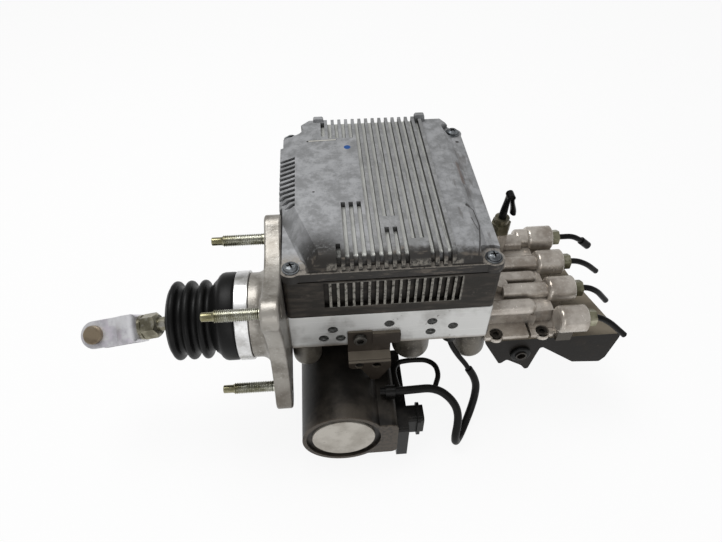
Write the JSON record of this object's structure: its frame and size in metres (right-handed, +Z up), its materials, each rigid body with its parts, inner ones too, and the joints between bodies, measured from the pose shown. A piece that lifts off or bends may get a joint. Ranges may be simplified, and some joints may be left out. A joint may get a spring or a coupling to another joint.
{
  "type": "electro-hydraulic brake booster",
  "caption": "Integrated brake booster with a valve block, finned control unit, pump motor, input pushrod with clevis and boot, and cut brake pipes.",
  "frame": {"origin": "on the booster's axis, at the pedal-side face of the mounting flange", "axes": "+X runs along the axis from the pedal to the brake pipes, +Y away from the finned front towards the connector, +Z up towards the control unit's cover"},
  "size_m": [0.4026, 0.224, 0.1768],
  "materials": {
    "cast_aluminium": "as cast, slightly dusty",
    "machined_aluminium": "machined, satin",
    "unit_casting": "die cast, stained",
    "pump_casting": "dark, dusty",
    "end_cap_metal": "satin",
    "steel": "ground",
    "zinc_steel": "bright zinc",
    "bright_ring": "bright",
    "yellow_zinc": "yellow passivated zinc",
    "olive_zinc": "olive passivated zinc",
    "dark_screw": "dark coated",
    "dark_bracket": "dark paint, dusty",
    "pipe_coating": "black coated pipe",
    "black_plastic": "moulded",
    "bush_plastic": "moulded",
    "rubber": "moulded rubber",
    "board": "circuit board",
    "contact_metal": "plated",
    "magnet": "ferrite"
  },
  "bodies": {
    "housing": {"booster_housing": "cast_aluminium", "mounting_studs": "yellow_zinc", "housing_screws": "steel", "guide_bush": "bush_plastic", "piston_seal": "rubber", "return_spring": "steel", "boot_retainer_ring": "bright_ring", "boot": "rubber", "valve_block": "machined_aluminium", "drilling_plugs": "machined_aluminium", "accumulator_caps": "machined_aluminium", "solenoid_coils": "black_plastic", "ecu_housing": "unit_casting", "circuit_board": "board", "ecu_gasket": "rubber", "ecu_cover": "unit_casting", "cover_screws": "dark_screw", "rear_connector": "black_plastic", "connector_pins": "contact_metal", "manifold": "machined_aluminium", "manifold_screws": "steel", "pump_plungers": "steel", "plunger_plugs": "steel", "pump_housing": "pump_casting", "pump_end_cap": "end_cap_metal", "motor_magnets": "magnet", "rotor_bearings": "steel", "pump_screws": "steel", "motor_connector": "black_plastic", "harness_main": "rubber", "harness_tail": "rubber", "harness_link": "rubber", "harness_clip": "black_plastic", "lead_gland": "black_plastic", "front_bracket": "dark_bracket", "front_bracket_bolt": "dark_screw", "outlet_body": "cast_aluminium", "ear_bolts": "dark_screw", "tube_nuts": "zinc_steel", "outlet_pipe_1": "pipe_coating", "outlet_pipe_2": "pipe_coating", "outlet_pipe_3": "pipe_coating", "outlet_pipe_4": "pipe_coating", "inlet_union": "olive_zinc", "inlet_pipe": "pipe_coating", "side_bracket": "dark_bracket", "bracket_grommet": "rubber", "grommet_sleeve": "zinc_steel"},
    "input": {"input_piston": "steel"},
    "rod": {"pushrod": "zinc_steel", "lock_nut": "zinc_steel", "clevis": "zinc_steel"},
    "pin": {"clevis_pin": "yellow_zinc", "pin_clip": "steel"},
    "rotor": {"pump_rotor": "steel"}
  },
  "joints": [
    {"name": "piston_slide", "type": "slide", "parent": "housing", "child": "input", "axis": [1, 0, 0], "range_m": [0, 0.026], "stiffness_N_per_m": 1500, "springref_m": -0.012, "deforming": ["return_spring", "boot"]},
    {"name": "pushrod_tilt", "type": "hinge", "parent": "input", "child": "rod", "pos_m": [-0.053, 0, 0], "axis": [0, 1, 0], "range_deg": [0, 16]},
    {"name": "clevis_pin_spin", "type": "hinge", "parent": "rod", "child": "pin", "pos_m": [-0.12243, 0, -0.01224], "axis": [-0.1368, -0.6157, 0.776], "continuous": true},
    {"name": "pump_rotor_spin", "type": "hinge", "parent": "housing", "child": "rotor", "pos_m": [0.0467, 0, -0.0792], "axis": [0, 1, 0], "continuous": true}
  ]
}
